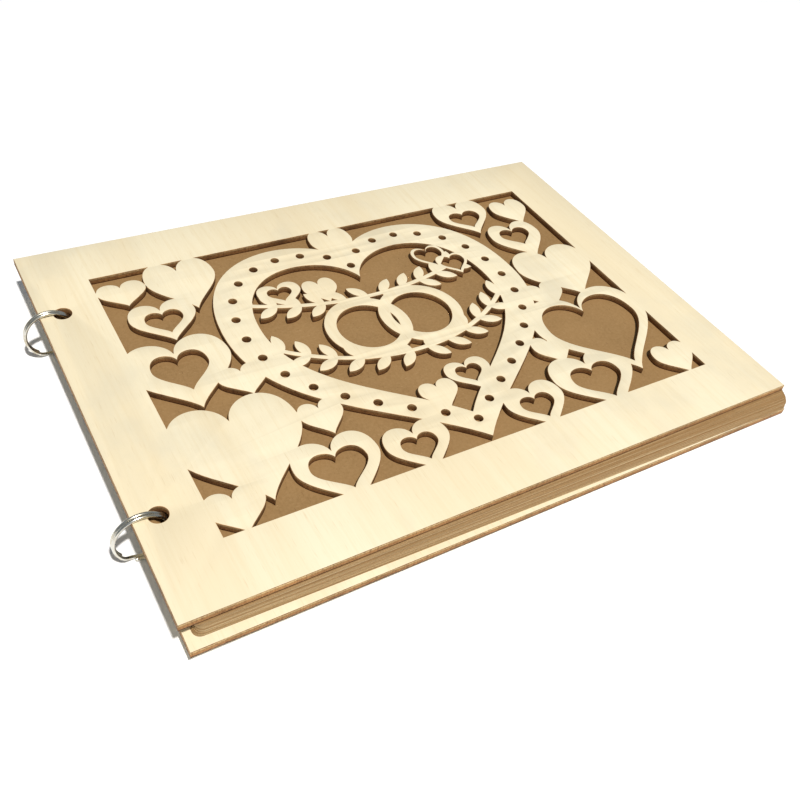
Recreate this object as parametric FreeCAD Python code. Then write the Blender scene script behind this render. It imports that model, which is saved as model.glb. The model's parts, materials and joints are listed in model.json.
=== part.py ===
import FreeCAD, Part
import math
import os

# Guest book with laser-cut plywood covers, kraft sheets and two split rings.
# Millimetres.  +X runs from the spine to the fore-edge, +Y along the spine, +Z up through the leaves.
# The origin is the centre of the back cover's underside.

# ---- driving dimensions ----
cover_length = 270.0
cover_width = 195.0
ply = 3.0

hole_radius = 3.5
hole_inset = 8.8
hole_spacing = 111.0
hole_near_margin = 41.6
back_inset = 9.15
back_margin = 44.4

sheet_count = 26
sheet_length = 267.0
sheet_width = 194.0
sheet_corner = 3.0
sheet_inset = 6.4
sheet_thickness = 0.28
sheet_pitch = 0.30

wire = 1.3
ring_radius = 9.85
ring_lean = 4.0

window_margin = 24.4

# How the leaves sit on the rings.  Each shift is from the ring centres to the middle of a leaf's two holes.
front_shift = 5.8
back_shift = (8.3, -1.2)
back_yaw = -0.1
sheet_yaw = 0.95
sheet_forward = 0.45
sheet_bulge = 1.5
bulge_reach = 0.85
fan_power = 2.5
yaw_stray = 0.05
end_stray = 0.2
side_stray = 0.12
spine_clearance = 1.15
pass_clearance = 0.3

# ---- heights ----
stack = sheet_count * sheet_pitch
front_z = ply + stack
axis_z = (front_z - pass_clearance) / 2

# ---- place of the rings: the back cover's underside is centred on the origin ----
back_turn = math.radians(back_yaw)
back_centre = (cover_length / 2 - back_inset, cover_width / 2 - back_margin - hole_spacing / 2)
back_holes_x = -(back_centre[0] * math.cos(back_turn) - back_centre[1] * math.sin(back_turn))
back_holes_y = -(back_centre[0] * math.sin(back_turn) + back_centre[1] * math.cos(back_turn))
axis_x = back_holes_x - back_shift[0]
ring_mid_y = back_holes_y - back_shift[1]

UP = FreeCAD.Vector(0, 0, 1)


def vec(x, y, z=0.0):
    return FreeCAD.Vector(x, y, z)


def export(shape, node):
    shape.exportStep("parts/" + node + ".step")


# ---- leaves ----
# A leaf is drawn about the middle of its two ring holes, flat on z = 0.
def leaf_blank(length, width, inset, near_margin, thickness):
    near_edge = -(near_margin + hole_spacing / 2)
    return Part.makeBox(length, width, thickness, vec(-inset, near_edge))


def drill(leaf, thickness):
    holes = []
    for y in (-hole_spacing / 2, hole_spacing / 2):
        holes.append(Part.makeCylinder(hole_radius, thickness + 2, vec(0, y, -1)))
    return leaf.cut(Part.makeCompound(holes))


def put_on_rings(leaf, shift_x, shift_y, yaw, z):
    placed = leaf.copy()
    placed.rotate(vec(0, 0), UP, yaw)
    placed.translate(vec(axis_x + shift_x, ring_mid_y + shift_y, z))
    return placed


def make_sheet():
    near_margin = (sheet_width - hole_spacing) / 2
    sheet = leaf_blank(sheet_length, sheet_width, sheet_inset, near_margin, sheet_thickness)
    upright = [edge for edge in sheet.Edges if abs(edge.tangentAt(edge.FirstParameter).z) > 0.9]
    sheet = sheet.makeFillet(sheet_corner, upright)
    return drill(sheet, sheet_thickness)


# ---- flat shapes for the cover's lattice ----
# They are drawn from the front cover's spine and near edges.
def curve(points):
    bezier = Part.BezierCurve()
    bezier.setPoles([vec(x, y) for x, y in points])
    return bezier.toShape()


def face_of(edges):
    return Part.Face(Part.Wire(edges))


def half_heart(side, x, tip, width, height, notch=0.20, shoulder=0.66, belly=0.26, tip_lean=0.10):
    """One side of a heart, from its dip down to its tip at (x, tip).

    The notch, shoulder and belly are shares of the height, and the tip's lean a share of the width.
    """
    reach = side * width / 2
    top = tip + height
    dip = top - notch * height
    widest = tip + shoulder * height
    lobe = curve([
        (x, dip),
        (x + side * 0.06 * width, top + 0.065 * height),
        (x + reach, top + 0.10 * height),
        (x + reach, widest),
    ])
    flank = curve([
        (x + reach, widest),
        (x + reach, widest - belly * height),
        (x + side * tip_lean * width, tip + 0.20 * height),
        (x, tip),
    ])
    return [lobe, flank]


def heart(x, **shape):
    return face_of(Part.__sortEdges__(half_heart(1, x, **shape) + half_heart(-1, x, **shape)))


def disc(x, y, radius):
    return face_of([Part.makeCircle(radius, vec(x, y))])


def annulus(x, y, outer, inner):
    return disc(x, y, outer).cut(disc(x, y, inner))


def rectangle(x, y, width, height):
    return Part.makePlane(width, height, vec(x, y))


def arc_strip(x, y, radius, width, start, end):
    """A curved bar of even width about (x, y), between two angles in degrees."""
    low = min(start, end)
    high = max(start, end)
    inner = Part.makeCircle(radius - width / 2, vec(x, y), UP, low, high)
    outer = Part.makeCircle(radius + width / 2, vec(x, y), UP, low, high)
    first = Part.makeLine(inner.Vertexes[0].Point, outer.Vertexes[0].Point)
    last = Part.makeLine(inner.Vertexes[1].Point, outer.Vertexes[1].Point)
    return face_of(Part.__sortEdges__([inner, first, outer, last]))


def leaflet(x, y, angle):
    """A pointed leaf from (x, y) along angle, made of two arcs."""
    ahead = vec(math.cos(angle), math.sin(angle))
    across = vec(-ahead.y, ahead.x)
    base = vec(x, y)
    tip = base + ahead * leaflet_length
    middle = base + ahead * (leaflet_length / 2)
    sides = [Part.Arc(base, middle + across * (s * leaflet_width / 2), tip).toShape() for s in (1, -1)]
    return face_of(Part.__sortEdges__(sides))


def sprig(x, y, radius, start, end):
    """A curved stem about (x, y) with pairs of leaflets that point from its start angle to its end angle."""
    shapes = [arc_strip(x, y, radius, stem_width, start, end)]
    heading = math.copysign(math.pi / 2, end - start)
    for k in range(leaflet_pairs):
        turn = math.radians(start + (end - start) * (k + 0.3) / leaflet_pairs)
        root_x = x + radius * math.cos(turn)
        root_y = y + radius * math.sin(turn)
        for side in (1, -1):
            shapes.append(leaflet(root_x, root_y, turn + heading + side * leaflet_spread))
    return shapes


# ---- the lattice: hearts round one big heart-shaped band ----
def sized(tip, width, height):
    return dict(tip=tip, width=width, height=height)


# Plain hearts: x, then the tip, width and height.
plain_hearts = [
    (134.0, sized(145.5, 21.0, 26.0)),
    (34.3, sized(148.0, 20.5, 16.5)),
    (59.8, sized(137.0, 30.6, 34.5)),
    (60.2, sized(81.5, 20.5, 17.5)),
    (46.0, sized(31.5, 49.5, 51.0)),
    (33.0, sized(22.5, 22.0, 20.0)),
    (79.0, sized(51.0, 18.0, 18.5)),
    (187.8, sized(49.0, 18.0, 18.5)),
    (236.6, sized(23.0, 20.5, 19.4)),
    (233.8, sized(143.5, 20.0, 21.5)),
    (226.4, sized(84.0, 41.0, 38.5)),
    (208.0, sized(81.5, 21.0, 18.0)),
]
# Outlined hearts: x, the outside, then the cut-out.
outlined_hearts = [
    (44.4, sized(121.0, 27.6, 25.6), sized(126.6, 15.4, 13.8)),
    (40.4, sized(82.0, 42.0, 40.5), sized(92.6, 22.4, 21.6)),
    (73.6, sized(18.0, 34.0, 33.0), sized(25.6, 22.4, 18.6)),
    (105.6, sized(20.0, 27.0, 25.0), sized(26.2, 15.0, 12.6)),
    (161.0, sized(20.0, 27.4, 25.5), sized(26.2, 15.2, 12.6)),
    (194.6, sized(18.0, 40.0, 34.6), sized(24.6, 23.8, 19.8)),
    (207.0, sized(143.0, 29.0, 29.0), sized(149.0, 16.6, 13.6)),
    (223.2, sized(117.0, 27.6, 29.5), sized(128.0, 16.0, 13.4)),
    (217.0, sized(33.0, 60.0, 55.0), sized(38.6, 47.6, 44.0)),
]

# The band lies between two hearts, and the row of dots follows a third one between them.
band_x = 133.6
full_flank = dict(belly=0.33, tip_lean=0.17)
band_outside = dict(sized(26.4, 143.2, 136.4), notch=0.115, shoulder=0.64, **full_flank)
band_inside = dict(sized(40.6, 112.0, 108.0), notch=0.15, shoulder=0.67, **full_flank)
dot_line = dict(sized(36.5, 127.6, 119.2), notch=0.118, shoulder=0.645, belly=0.35, tip_lean=0.24)
dots_per_side = 16
dot_radius = 1.8
dot_crowding = 0.012
smallest_opening = 1.0

# Inside the band: two crossed rings held by leafy sprigs, with small hearts about them.
motif_rings = [(120.6, 101.0), (146.6, 101.0)]
motif_ring_outer = 19.0
motif_ring_inner = 13.6
stem_width = 2.4
leaflet_pairs = 6
leaflet_length = 11.0
leaflet_width = 5.0
leaflet_spread = math.radians(46)
upper_sprig = dict(y=250.0, radius=131.0, sweep=27.0)
lower_sprig = dict(y=164.5, radius=84.0, sweep=44.0)
motif_plain_hearts = [
    (113.0, sized(121.0, 16.0, 17.0)),
    (127.5, sized(46.0, 17.0, 15.5)),
]
motif_outlined_hearts = [
    (95.0, sized(124.5, 20.0, 16.5), sized(129.0, 10.8, 8.8)),
    (145.2, sized(50.0, 21.0, 18.0), sized(54.6, 11.6, 9.8)),
    (172.4, sized(126.0, 17.0, 17.0), sized(128.4, 13.6, 13.2)),
    (180.4, sized(118.5, 16.0, 15.5), sized(120.9, 12.6, 11.7)),
]


def motif_faces():
    """The figure inside the band, as a list of overlapping faces."""
    stems = []
    for side in (1, -1):
        upper = upper_sprig
        lower = lower_sprig
        stems += sprig(band_x, upper["y"], upper["radius"], 270, 270 + side * upper["sweep"])
        stems += sprig(band_x, lower["y"], lower["radius"], 270, 270 + side * lower["sweep"])
    clear = [disc(x, y, motif_ring_inner) for x, y in motif_rings]
    clear += [heart(x, **cutout) for x, outside, cutout in motif_outlined_hearts]
    faces = [stem.cut(clear) for stem in stems]
    faces += [annulus(x, y, motif_ring_outer, motif_ring_inner) for x, y in motif_rings]
    faces += [heart(x, **shape) for x, shape in motif_plain_hearts]
    faces += [heart(x, **outside).cut(heart(x, **cutout)) for x, outside, cutout in motif_outlined_hearts]
    return faces


def points_along(edges, count):
    """Points along a chain of edges, both ends included, a little closer together at its start."""
    finely = [point for edge in edges for point in edge.discretize(Number=400)]
    steps = [finely[k].distanceToPoint(finely[k + 1]) for k in range(len(finely) - 1)]
    total = sum(steps)
    points = [finely[0]]
    travelled = 0.0
    for k, step in enumerate(steps):
        travelled += step
        share = len(points) / count
        wanted = total * (share - dot_crowding * math.sin(math.pi * share))
        if travelled >= wanted - 0.001:
            points.append(finely[k + 1])
    return points


def dot_faces():
    """The small round holes along the band, from its dip to its tip on both sides."""
    right = points_along(half_heart(1, band_x, **dot_line), dots_per_side)
    left = points_along(half_heart(-1, band_x, **dot_line), dots_per_side)
    return [disc(point.x, point.y, dot_radius) for point in right + left[1:-1]]


def openings():
    """Every opening of the lattice, as separate flat faces."""
    window_length = cover_length - 2 * window_margin
    window_width = cover_width - 2 * window_margin
    hearts = [heart(x, **shape) for x, shape in plain_hearts]
    hearts += [heart(x, **outside) for x, outside, cutout in outlined_hearts]
    hearts.append(heart(band_x, **band_outside))
    window = rectangle(window_margin, window_margin, window_length, window_width)
    faces = window.cut(hearts).Faces
    faces += [heart(x, **cutout) for x, outside, cutout in outlined_hearts]
    faces += heart(band_x, **band_inside).cut(motif_faces()).Faces
    faces += dot_faces()
    return [face for face in faces if face.Area > smallest_opening]


# ---- covers ----
def make_front_cover():
    plate = Part.makeBox(cover_length, cover_width, ply)
    cutters = [face.extrude(vec(0, 0, ply + 2)) for face in openings()]
    for cutter in cutters:
        cutter.translate(vec(0, 0, -1))
    cover = plate.cut(cutters)
    cover.translate(vec(-hole_inset, -(hole_near_margin + hole_spacing / 2)))
    return drill(cover, ply)


def make_back_cover():
    return drill(leaf_blank(cover_length, cover_width, back_inset, back_margin, ply), ply)


# ---- split rings: two turns of wire side by side, joined by one short crossing ----
crossing = 30.0
strand_offset = wire / 2 + 0.02


def ring_point(angle, y):
    turn = math.radians(angle)
    return vec(ring_radius * math.cos(turn), y, ring_radius * math.sin(turn))


def ring_heading(angle):
    turn = math.radians(angle)
    return vec(-math.sin(turn), 0, math.cos(turn))


def turn_of_wire(y):
    """One turn about the Y axis, open where the wire crosses over."""
    circle = Part.makeCircle(wire / 2, ring_point(0, y), ring_heading(0))
    return face_of([circle]).revolve(vec(0, y, 0), vec(0, -1, 0), 360 - crossing)


def bend(start, heading, end):
    """Wire on the arc that leaves start along heading and passes through end."""
    chord = end - start
    half_turn = heading.getAngle(chord)
    axis = heading.cross(chord).normalize()
    centre = start + axis.cross(heading) * (chord.Length / (2 * math.sin(half_turn)))
    section = face_of([Part.makeCircle(wire / 2, start, heading)])
    return section.revolve(centre, axis, math.degrees(2 * half_turn))


def crossing_wire():
    """The wire's step from the end of the first turn to the start of the second, in two arcs that meet in line."""
    middle = ring_point(-crossing / 2, 0) * math.hypot(1, strand_offset / ring_radius)
    leaving = bend(ring_point(-crossing, -strand_offset), ring_heading(-crossing), middle)
    arriving = bend(ring_point(0, strand_offset), -ring_heading(0), middle)
    return [leaving, arriving]


def make_ring(crossing_at):
    turns = [turn_of_wire(-strand_offset), turn_of_wire(strand_offset)]
    ring = turns[0].fuse([turns[1]] + crossing_wire())
    ring.rotate(vec(0, 0, 0), vec(0, -1, 0), crossing_at)
    ring.rotate(vec(0, 0, 0), vec(-1, 0, 0), ring_lean)
    return ring


# ---- the leaves' places ----
def sheet_place(number):
    """Shift and turn of a sheet, counted from the top, as the sheets fan out below the front cover."""
    depth = (number - 1) / (sheet_count - 1)
    stray = math.sin(2.4 * number)
    drift = math.sin(5.3 * number + 1)
    yaw = sheet_yaw * (1 - (1 - depth) ** fan_power) + yaw_stray * stray * depth
    near_corner = sheet_width / 2 * math.sin(math.radians(yaw))
    edge = spine_clearance + sheet_bulge * math.sin(math.pi * bulge_reach * depth) + end_stray * (1 + stray) / 2
    shift_x = sheet_inset * math.cos(math.radians(yaw)) + near_corner + edge
    return shift_x, side_stray * drift - sheet_forward, -yaw


os.makedirs("parts", exist_ok=True)

back_cover = put_on_rings(make_back_cover(), back_shift[0], back_shift[1], back_yaw, 0)
export(back_cover, "back_cover")

plain_sheet = make_sheet()
for number in range(1, sheet_count + 1):
    shift_x, shift_y, yaw = sheet_place(number)
    bottom = front_z - number * sheet_pitch + (sheet_pitch - sheet_thickness) / 2
    export(put_on_rings(plain_sheet, shift_x, shift_y, yaw, bottom), "sheet_%02d" % number)

front_cover = put_on_rings(make_front_cover(), front_shift, 0, 0, front_z)
export(front_cover, "front_cover")

for name, side, crossing_at in (("near_ring", -1, 250), ("far_ring", 1, 265)):
    ring = make_ring(crossing_at)
    ring.translate(vec(axis_x, ring_mid_y + side * hole_spacing / 2, axis_z))
    export(ring, name)
    print(name, "valid", ring.isValid(), "volume", round(ring.Volume, 1), "solids", len(ring.Solids))

print("hinge line x", round(axis_x, 3), "z", axis_z, "ring middle y", round(ring_mid_y, 3))
print("front cover solids", len(front_cover.Solids), "volume", round(front_cover.Volume, 1))
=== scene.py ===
import json
import math

import bmesh
import bpy
from mathutils import Matrix, Vector


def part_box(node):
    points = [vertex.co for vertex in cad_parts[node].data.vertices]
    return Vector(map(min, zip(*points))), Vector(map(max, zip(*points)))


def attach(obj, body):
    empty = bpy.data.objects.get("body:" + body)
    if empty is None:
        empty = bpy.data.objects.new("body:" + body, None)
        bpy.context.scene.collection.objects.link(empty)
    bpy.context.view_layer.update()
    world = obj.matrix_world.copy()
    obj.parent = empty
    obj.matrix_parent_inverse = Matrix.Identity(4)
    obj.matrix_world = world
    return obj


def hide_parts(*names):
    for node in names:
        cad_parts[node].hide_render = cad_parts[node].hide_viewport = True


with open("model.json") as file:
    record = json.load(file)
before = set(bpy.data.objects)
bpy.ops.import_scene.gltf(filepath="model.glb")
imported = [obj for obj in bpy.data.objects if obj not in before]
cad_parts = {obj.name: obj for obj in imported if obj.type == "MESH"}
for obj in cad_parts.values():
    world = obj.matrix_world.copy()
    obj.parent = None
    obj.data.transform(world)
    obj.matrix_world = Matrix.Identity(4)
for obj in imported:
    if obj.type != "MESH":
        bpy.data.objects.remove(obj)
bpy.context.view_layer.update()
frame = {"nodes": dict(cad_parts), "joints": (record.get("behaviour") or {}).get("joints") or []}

# Guest book with laser-cut plywood covers, kraft sheets and two split rings.
# Metres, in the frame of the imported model:
# +X from the spine to the fore-edge, +Y along the spine, +Z up.

MM = 0.001
front_low, front_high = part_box("front_cover")
back_low, back_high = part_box("back_cover")
joints = {joint["name"]: joint for joint in frame["joints"]}
sheets = sorted(name for name in frame["nodes"] if name.startswith("sheet_"))

# ---- sizes that only the looks need ----
WIRE = 1.3 * MM
STRAND_GAP = 0.04 * MM
CROSSING = math.radians(30)
EASED_EDGE = 0.16 * MM
SHEET_PITCH = 0.30 * MM
LEVEL = 0.01 * MM
PERIMETER = 1.0 * MM


# ---- shader helpers ----
def srgb(red, green, blue):
    """A colour given as 0 to 255 display values, as the linear colour that shaders take."""
    shares = [value / 255 for value in (red, green, blue)]
    linear = [s / 12.92 if s <= 0.04045 else ((s + 0.055) / 1.055) ** 2.4 for s in shares]
    return (*linear, 1.0)


def plug(tree, socket, value):
    """Links another node's output to a socket, or sets a constant on it."""
    if isinstance(value, bpy.types.NodeSocket):
        tree.links.new(value, socket)
    else:
        socket.default_value = value


def add(tree, kind, inputs=None, **settings):
    """A new shader node with its settings made and its inputs linked or set."""
    made = tree.nodes.new("ShaderNode" + kind)
    for key, value in settings.items():
        setattr(made, key, value)
    for key, value in (inputs or {}).items():
        plug(tree, made.inputs[key], value)
    return made


def material(name, inputs):
    """A new material with a Principled shader, the shader, and the piece's own coordinates."""
    made = bpy.data.materials.new(name)
    made.use_nodes = True
    tree = made.node_tree
    tree.nodes.clear()
    shader = add(tree, "BsdfPrincipled", inputs)
    output = add(tree, "OutputMaterial")
    tree.links.new(shader.outputs["BSDF"], output.inputs["Surface"])
    coords = add(tree, "TexCoord").outputs["Object"]
    return made, tree, shader, coords


def noise(tree, coords, stretch, detail=4.0, roughness=0.5, distortion=0.0):
    """Noise whose lumps per metre along X, Y and Z are given by stretch."""
    place = add(tree, "Mapping", {"Vector": coords, "Scale": stretch})
    inputs = {
        "Vector": place.outputs["Vector"],
        "Scale": 1.0,
        "Detail": detail,
        "Roughness": roughness,
        "Distortion": distortion,
    }
    return add(tree, "TexNoise", inputs).outputs["Fac"]


def spread(tree, value, low, high, out_low=0.0, out_high=1.0):
    """Stretches low..high of value over out_low..out_high, clamped."""
    inputs = {0: value, 1: low, 2: high, 3: out_low, 4: out_high}
    return add(tree, "MapRange", inputs, clamp=True).outputs[0]


def mix(tree, share, first, second):
    """The first colour, turned into the second by the given share."""
    made = add(tree, "Mix", data_type="RGBA", blend_type="MIX")
    for index, value in ((0, share), (6, first), (7, second)):
        plug(tree, made.inputs[index], value)
    return made.outputs[2]


def maths(tree, operation, first, second):
    return add(tree, "Math", {0: first, 1: second}, operation=operation).outputs[0]


def ramp(tree, value, stops):
    """A colour read off a straight ramp of (position, colour) stops."""
    made = add(tree, "ValToRGB", {"Fac": value})
    band = made.color_ramp
    band.interpolation = "LINEAR"
    while len(band.elements) < len(stops):
        band.elements.new(1.0)
    for element, (position, colour) in zip(band.elements, stops):
        element.position = position
        element.color = colour
    return made.outputs["Color"]


def bump(tree, shader, height, distance):
    made = add(tree, "Bump", {"Height": height, "Distance": distance, "Strength": 1.0})
    tree.links.new(made.outputs["Normal"], shader.inputs["Normal"])


# ---- plywood ----
FACE_CREAM = srgb(230, 215, 181)
FACE_STREAK = srgb(221, 202, 163)
FACE_PALE = srgb(235, 223, 192)
FACE_PORE = srgb(190, 160, 116)
FACE_SMUDGE = srgb(203, 197, 176)


def face_material():
    """Sanded birch: streaks and pores along Y, broad soft bands, and faint grey smudges."""
    made, tree, shader, coords = material("birch_face", {"Specular IOR Level": 0.35})
    bands = noise(tree, coords, (34, 2.6, 34), detail=3, distortion=0.4)
    streaks = noise(tree, coords, (620, 17, 620), detail=5, roughness=0.6)
    pores = noise(tree, coords, (2600, 120, 2600), detail=2)
    smudges = noise(tree, coords, (21, 17, 21), detail=5, roughness=0.62)
    colour = mix(tree, spread(tree, bands, 0.38, 0.64), FACE_CREAM, FACE_PALE)
    colour = mix(tree, spread(tree, streaks, 0.46, 0.74, 0.0, 0.42), colour, FACE_STREAK)
    colour = mix(tree, spread(tree, pores, 0.62, 0.76, 0.0, 0.28), colour, FACE_PORE)
    colour = mix(tree, spread(tree, smudges, 0.54, 0.72, 0.0, 0.40), colour, FACE_SMUDGE)
    plug(tree, shader.inputs["Base Color"], colour)
    plug(tree, shader.inputs["Roughness"], spread(tree, streaks, 0.3, 0.7, 0.50, 0.66))
    grain = maths(tree, "SUBTRACT", streaks, maths(tree, "MULTIPLY", pores, 0.5))
    bump(tree, shader, grain, 0.05 * MM)
    return made


# Layers of the 3 mm board from its underside up: share of the thickness, colour on the outside edge.
EDGE_LAYERS = [
    (0.00, srgb(54, 28, 12)),
    (0.16, srgb(84, 44, 20)),
    (0.22, srgb(206, 152, 92)),
    (0.31, srgb(222, 172, 110)),
    (0.34, srgb(140, 88, 46)),
    (0.39, srgb(206, 150, 90)),
    (0.61, srgb(212, 158, 98)),
    (0.66, srgb(112, 68, 34)),
    (0.71, srgb(226, 186, 126)),
    (0.94, srgb(236, 204, 148)),
    (1.00, srgb(150, 100, 56)),
]
CHAR = srgb(60, 33, 16)
CHAR_PATCHINESS = 0.16
OUTSIDE_CHAR = 0.34
# The walls in the openings are darker than the outside edges: part laser char, part painted shade for
# the recess.
OPENING_CHAR_AND_SHADE = 0.70
PORE_DARK = srgb(112, 68, 36)
LAYER_WAVE = 0.09 * MM


def edge_material(name, bottom, thickness, burn_and_shade):
    """A cut edge: three plies with glue lines, end grain pores, and the laser's upright marks."""
    made, tree, shader, coords = material(name, {"Specular IOR Level": 0.25})
    height = add(tree, "SeparateXYZ", {"Vector": coords}).outputs["Z"]
    wobble = noise(tree, coords, (160, 160, 10), detail=3)
    wave = spread(tree, wobble, 0.3, 0.7, -LAYER_WAVE, LAYER_WAVE)
    height = maths(tree, "ADD", height, wave)
    share = spread(tree, height, bottom, bottom + thickness)
    layers = ramp(tree, share, EDGE_LAYERS)
    pores = noise(tree, coords, (900, 900, 1700), detail=4, roughness=0.65)
    marks = noise(tree, coords, (3200, 3200, 90), detail=2)
    patches = noise(tree, coords, (70, 70, 70), detail=4)
    colour = mix(tree, spread(tree, pores, 0.50, 0.66, 0.0, 0.80), layers, PORE_DARK)
    colour = mix(tree, spread(tree, marks, 0.45, 0.70, 0.0, 0.35), colour, PORE_DARK)
    # Char patches; on the walls in the openings this darkening also holds painted shade.
    least = max(0.0, burn_and_shade - CHAR_PATCHINESS)
    burn_and_shade_share = spread(tree, patches, 0.30, 0.70, least, burn_and_shade + CHAR_PATCHINESS)
    colour = mix(tree, burn_and_shade_share, colour, CHAR)
    plug(tree, shader.inputs["Base Color"], colour)
    plug(tree, shader.inputs["Roughness"], spread(tree, marks, 0.3, 0.7, 0.55, 0.80))
    bump(tree, shader, maths(tree, "ADD", marks, pores), 0.06 * MM)
    return made


RIM_TONES = [
    (0.30, srgb(104, 66, 36)),
    (0.52, srgb(168, 120, 72)),
    (0.72, srgb(214, 176, 124)),
]


def rim_material():
    """The eased corner beside an opening, browned by the laser."""
    made, tree, shader, coords = material("scorched_rim", {"Specular IOR Level": 0.3})
    patches = noise(tree, coords, (160, 160, 160), detail=4, roughness=0.6)
    colour = ramp(tree, patches, RIM_TONES)
    plug(tree, shader.inputs["Base Color"], colour)
    plug(tree, shader.inputs["Roughness"], spread(tree, patches, 0.3, 0.7, 0.50, 0.70))
    bump(tree, shader, patches, 0.03 * MM)
    return made


# ---- kraft paper ----
KRAFT_BROWN = srgb(138, 107, 66)
KRAFT_TAN = srgb(149, 116, 73)
KRAFT_PULP = srgb(164, 130, 88)
KRAFT_DARK_FIBRE = srgb(100, 68, 40)
KRAFT_PALE_FIBRE = srgb(190, 160, 120)
KRAFT_EDGE_TONES = [
    (0.30, srgb(126, 98, 64)),
    (0.48, srgb(172, 142, 100)),
    (0.66, srgb(212, 190, 150)),
]
KRAFT_EDGE_FIBRE = srgb(104, 80, 50)


def kraft_face():
    """Kraft card: an even brown with short darker and paler fibres and a soft tooth."""
    made, tree, shader, coords = material("kraft_face", {"Specular IOR Level": 0.3})
    pulp = noise(tree, coords, (900, 900, 900), detail=5, roughness=0.65)
    clouds = noise(tree, coords, (45, 45, 3300), detail=3)
    across = noise(tree, coords, (3200, 380, 900), detail=2, distortion=1.2)
    along = noise(tree, coords, (380, 3200, 900), detail=2, distortion=1.2)
    colour = mix(tree, spread(tree, clouds, 0.3, 0.7), KRAFT_BROWN, KRAFT_TAN)
    colour = mix(tree, spread(tree, pulp, 0.35, 0.70, 0.0, 0.5), colour, KRAFT_PULP)
    colour = mix(tree, spread(tree, across, 0.64, 0.76, 0.0, 0.6), colour, KRAFT_DARK_FIBRE)
    colour = mix(tree, spread(tree, along, 0.66, 0.78, 0.0, 0.6), colour, KRAFT_PALE_FIBRE)
    plug(tree, shader.inputs["Base Color"], colour)
    plug(tree, shader.inputs["Roughness"], spread(tree, pulp, 0.3, 0.7, 0.72, 0.88))
    bump(tree, shader, pulp, 0.04 * MM)
    return made


def kraft_edge():
    """Guillotined paper edges: paler than the face, and each sheet a little different."""
    made, tree, shader, coords = material("kraft_edge", {"Specular IOR Level": 0.25})
    per_sheet = 1 / SHEET_PITCH
    tone = noise(tree, coords, (9, 9, per_sheet), detail=2, roughness=0.6)
    fibres = noise(tree, coords, (1100, 1100, 2 * per_sheet), detail=3, roughness=0.6)
    colour = ramp(tree, tone, KRAFT_EDGE_TONES)
    colour = mix(tree, spread(tree, fibres, 0.50, 0.72, 0.0, 0.45), colour, KRAFT_EDGE_FIBRE)
    plug(tree, shader.inputs["Base Color"], colour)
    plug(tree, shader.inputs["Roughness"], spread(tree, fibres, 0.3, 0.7, 0.75, 0.92))
    bump(tree, shader, fibres, 0.05 * MM)
    return made


# ---- steel ----
STEEL_CLEAN = srgb(226, 224, 216)
STEEL_TARNISH = srgb(198, 188, 164)


def steel():
    """Plated spring wire with fine drawing lines and a faint warm tarnish."""
    made, tree, shader, coords = material("ring_steel", {"Metallic": 1.0})
    lines = noise(tree, coords, (700, 9000, 700), detail=3)
    tarnish = noise(tree, coords, (260, 260, 260), detail=4, roughness=0.6)
    colour = mix(tree, spread(tree, tarnish, 0.40, 0.68), STEEL_CLEAN, STEEL_TARNISH)
    plug(tree, shader.inputs["Base Color"], colour)
    plug(tree, shader.inputs["Roughness"], spread(tree, tarnish, 0.3, 0.7, 0.16, 0.32))
    bump(tree, shader, lines, 0.006 * MM)
    return made


# ---- covers ----
FLAT_FACE = 0.97
WALL_FACE = 0.2
BOARD_SHARP_ANGLE = math.radians(28)
MERGE_GAP = 0.001 * MM
SLIVER = 0.0005 * MM


def outline_loops(node):
    """The closed edges of a plate's top face, as lists of (x, y)."""
    mesh = frame["nodes"][node].data
    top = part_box(node)[1].z
    uses = {}
    for polygon in mesh.polygons:
        corners = [mesh.vertices[k].co for k in polygon.vertices]
        if max(abs(corner.z - top) for corner in corners) > LEVEL:
            continue
        places = [(round(corner.x, 7), round(corner.y, 7)) for corner in corners]
        for start, end in zip(places, places[1:] + places[:1]):
            pair = frozenset((start, end))
            uses[pair] = uses.get(pair, 0) + 1
    beside = {}
    for pair, count in uses.items():
        if count == 1:
            start, end = pair
            beside.setdefault(start, []).append(end)
            beside.setdefault(end, []).append(start)
    loops = []
    while beside:
        place = next(iter(beside))
        loop = []
        while place in beside:
            loop.append(place)
            ahead = [other for other in beside.pop(place) if other in beside]
            place = ahead[0] if ahead else None
        loops.append(loop)
    return loops


def board_mesh(name, node):
    """A board with a plate's outline and openings, filled, and its corners eased all round."""
    low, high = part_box(node)
    curve = bpy.data.curves.new(name + "_outline", "CURVE")
    curve.dimensions = "2D"
    curve.fill_mode = "BOTH"
    curve.extrude = (high.z - low.z) / 2 - EASED_EDGE
    curve.bevel_depth = EASED_EDGE
    curve.bevel_resolution = 1
    curve.offset = -EASED_EDGE
    for loop in outline_loops(node):
        spline = curve.splines.new("POLY")
        spline.points.add(len(loop) - 1)
        for point, (x, y) in zip(spline.points, loop):
            point.co = (x, y, 0, 1)
        spline.use_cyclic_u = True
    source = bpy.data.objects.new(name + "_outline", curve)
    bpy.context.scene.collection.objects.link(source)
    evaluated = source.evaluated_get(bpy.context.evaluated_depsgraph_get())
    mesh = bpy.data.meshes.new_from_object(evaluated)
    bpy.data.objects.remove(source)
    mesh.transform(Matrix.Translation((0, 0, (low.z + high.z) / 2)))
    form = bmesh.new()
    form.from_mesh(mesh)
    bmesh.ops.remove_doubles(form, verts=form.verts, dist=MERGE_GAP)
    bmesh.ops.dissolve_degenerate(form, edges=form.edges, dist=SLIVER)
    bmesh.ops.recalc_face_normals(form, faces=form.faces)
    form.to_mesh(mesh)
    form.free()
    return mesh


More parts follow.
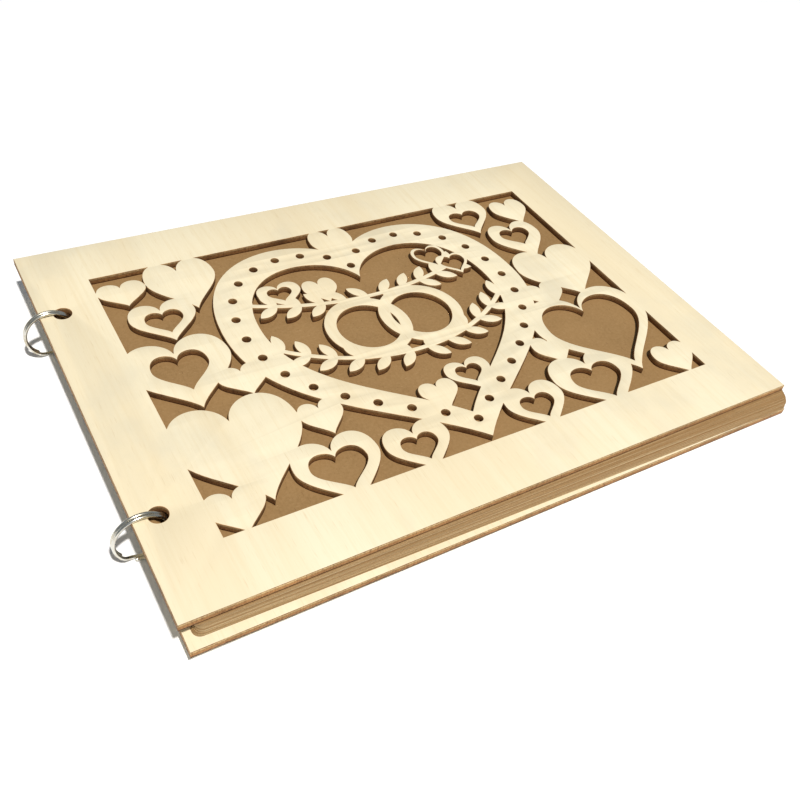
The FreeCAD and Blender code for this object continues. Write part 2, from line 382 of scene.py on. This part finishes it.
def make_board(name, node, face, rim):
    """A cover's visible piece: sanded faces, plain outside edges, and walls in the openings darkened
    by laser char and painted shade.
    """
    low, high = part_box(node)
    mesh = board_mesh(name, node)
    thickness = high.z - low.z
    outside = edge_material(name + "_edge", low.z, thickness, OUTSIDE_CHAR)
    # Walls in the openings: laser char plus painted shade.
    cut = edge_material(name + "_cut", low.z, thickness, OPENING_CHAR_AND_SHADE)
    mesh.materials.clear()
    for look in (face, outside, cut, rim):
        mesh.materials.append(look)
    for polygon in mesh.polygons:
        middle = polygon.center
        margin = min(middle.x - low.x, high.x - middle.x, middle.y - low.y, high.y - middle.y)
        upright = abs(polygon.normal.z)
        if upright > FLAT_FACE:
            polygon.material_index = 0
        elif margin < PERIMETER:
            polygon.material_index = 1
        elif upright < WALL_FACE:
            polygon.material_index = 2
        else:
            polygon.material_index = 3
        polygon.use_smooth = True
    mesh.set_sharp_from_angle(angle=BOARD_SHARP_ANGLE)
    board = bpy.data.objects.new(name, mesh)
    bpy.context.scene.collection.objects.link(board)
    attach(board, node)
    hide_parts(node)


# ---- sheets ----
def dress_sheets(face, edge):
    """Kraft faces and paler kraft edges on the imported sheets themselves."""
    for name in sheets:
        mesh = frame["nodes"][name].data
        mesh.materials.clear()
        mesh.materials.append(face)
        mesh.materials.append(edge)
        for polygon in mesh.polygons:
            polygon.material_index = 0 if abs(polygon.normal.z) > 0.5 else 1


# ---- split rings ----
RING_STEPS = 240
RING_SIDES = 6
END_RADIUS_SHARE = 0.72
RING_SHARP_ANGLE = math.radians(35)
NEAR_CROSSING = 250
FAR_CROSSING = 265


def ring_path(radius, crossing_at):
    """The wire's centre line: one turn, a crossing, and a second turn beside it, about the Y axis."""
    offset = (WIRE + STRAND_GAP) / 2
    whole = 4 * math.pi - CROSSING
    first_end = 2 * math.pi - CROSSING
    points = []
    for k in range(RING_STEPS + 1):
        angle = whole * k / RING_STEPS
        share = min(1.0, max(0.0, (angle - first_end) / CROSSING))
        eased = share * share * (3 - 2 * share)
        y = offset * (2 * eased - 1)
        turn = angle + crossing_at
        points.append(Vector((radius * math.cos(turn), y, radius * math.sin(turn))))
    return points


def make_ring(name, node, joint, crossing_at, look):
    """A split ring: two turns of wire with ground ends, and the crossing's angle in degrees."""
    low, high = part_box(node)
    radius = (high.x - low.x - WIRE) / 2
    axis = Vector(joint["axis"])
    lean = Matrix.Rotation(math.atan2(-axis.z, axis.y), 4, "X").inverted()
    place = Matrix.Translation(joint["pos_m"]) @ lean
    curve = bpy.data.curves.new(name + "_path", "CURVE")
    curve.dimensions = "3D"
    curve.bevel_depth = WIRE / 2
    curve.bevel_resolution = RING_SIDES
    curve.use_fill_caps = True
    points = [place @ point for point in ring_path(radius, math.radians(crossing_at))]
    spline = curve.splines.new("POLY")
    spline.points.add(len(points) - 1)
    for point, position in zip(spline.points, points):
        point.co = (*position, 1)
    spline.points[0].radius = END_RADIUS_SHARE
    spline.points[-1].radius = END_RADIUS_SHARE
    source = bpy.data.objects.new(name + "_path", curve)
    bpy.context.scene.collection.objects.link(source)
    evaluated = source.evaluated_get(bpy.context.evaluated_depsgraph_get())
    mesh = bpy.data.meshes.new_from_object(evaluated)
    bpy.data.objects.remove(source)
    for polygon in mesh.polygons:
        polygon.use_smooth = True
    mesh.set_sharp_from_angle(angle=RING_SHARP_ANGLE)
    mesh.materials.clear()
    mesh.materials.append(look)
    ring = bpy.data.objects.new(name, mesh)
    bpy.context.scene.collection.objects.link(ring)
    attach(ring, node)
    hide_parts(node)


# ---- floor, lights and camera ----
FLOOR_HALF = 4.0
FLOOR_GREY = srgb(249, 249, 250)
FLOOR_WHITE = srgb(252, 252, 252)
SKY_COLOUR = (0.82, 0.91, 1.0, 1.0)
SKY_STRENGTH = 0.24
KEY_DIRECTION = (-0.07, -0.50, 1.0)
KEY_DISTANCE = 3.5
KEY_SIZE = 0.16
KEY_POWER = 141.0
KEY_COLOUR = (1.0, 0.975, 0.94)


def make_floor():
    """A pale table top that touches the rings' lowest points and the back cover's fore-edge."""
    ring_low, ring_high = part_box("near_ring")
    lowest = Vector(((ring_low.x + ring_high.x) / 2, 0, ring_low.z))
    rest = Vector((back_high.x, 0, back_low.z))
    tilt = math.atan2(rest.z - lowest.z, rest.x - lowest.x)
    made, tree, shader, coords = material("table_top", {"Specular IOR Level": 0.2})
    cloth = noise(tree, coords, (60, 60, 60), detail=4)
    plug(tree, shader.inputs["Base Color"], mix(tree, cloth, FLOOR_GREY, FLOOR_WHITE))
    plug(tree, shader.inputs["Roughness"], spread(tree, cloth, 0.3, 0.7, 0.78, 0.86))
    half = FLOOR_HALF
    mesh = bpy.data.meshes.new("table_top")
    corners = [(-half, -half, 0), (half, -half, 0), (half, half, 0), (-half, half, 0)]
    mesh.from_pydata(corners, [], [(0, 1, 2, 3)])
    mesh.materials.append(made)
    floor = bpy.data.objects.new("table_top", mesh)
    bpy.context.scene.collection.objects.link(floor)
    floor.matrix_world = Matrix.Translation(rest) @ Matrix.Rotation(-tilt, 4, "Y")


def area_light(name, direction, distance, size, power, colour):
    """A square light that faces the middle of the closed cover from a direction."""
    data = bpy.data.lights.new(name, "AREA")
    data.size = size
    data.energy = power
    data.color = colour
    lamp = bpy.data.objects.new(name, data)
    bpy.context.scene.collection.objects.link(lamp)
    towards = Vector(direction).normalized()
    lamp.location = (front_low + front_high) / 2 + towards * distance
    lamp.rotation_mode = "QUATERNION"
    lamp.rotation_quaternion = towards.to_track_quat("Z", "Y")


def make_lights():
    """One key light almost straight above, and a dim bluish studio all round."""
    world = bpy.data.worlds.new("studio")
    bpy.context.scene.world = world
    world.use_nodes = True
    backdrop = world.node_tree.nodes["Background"]
    backdrop.inputs["Color"].default_value = SKY_COLOUR
    backdrop.inputs["Strength"].default_value = SKY_STRENGTH
    area_light("key", KEY_DIRECTION, KEY_DISTANCE, KEY_SIZE, KEY_POWER, KEY_COLOUR)


LENS = 39.70
SENSOR_WIDTH = 36.0
NEAR_CLIP = 0.01
HEADING = math.radians(37.49)
ELEVATION = math.radians(43.67)
ROLL = math.radians(10.331)
CAMERA_FROM_CORNER = Vector((-40.31, -139.09, 235.99)) * MM


def make_camera():
    """A camera placed from the closed front cover's near corner at the spine."""
    data = bpy.data.cameras.new("camera")
    data.lens = LENS
    data.sensor_width = SENSOR_WIDTH
    data.clip_start = NEAR_CLIP
    camera = bpy.data.objects.new("camera", data)
    bpy.context.scene.collection.objects.link(camera)
    ahead = Vector((
        math.sin(HEADING) * math.cos(ELEVATION),
        math.cos(HEADING) * math.cos(ELEVATION),
        -math.sin(ELEVATION),
    ))
    level_right = ahead.cross(Vector((0, 0, 1))).normalized()
    level_up = level_right.cross(ahead)
    right = level_right * math.cos(ROLL) + level_up * math.sin(ROLL)
    up = right.cross(ahead)
    turn = Matrix((right, up, -ahead)).transposed()
    corner = Vector((front_low.x, front_low.y, front_high.z))
    camera.matrix_world = Matrix.Translation(corner + CAMERA_FROM_CORNER) @ turn.to_4x4()
    bpy.context.scene.camera = camera


make_camera()
make_lights()
make_floor()
bpy.context.scene.view_settings.view_transform = "Standard"

birch = face_material()
scorched = rim_material()
make_board("front_board", "front_cover", birch, scorched)
make_board("back_board", "back_cover", birch, scorched)
dress_sheets(kraft_face(), kraft_edge())
wire_steel = steel()
make_ring("near_split_ring", "near_ring", joints["spin_near_ring"], NEAR_CROSSING, wire_steel)
make_ring("far_split_ring", "far_ring", joints["spin_far_ring"], FAR_CROSSING, wire_steel)
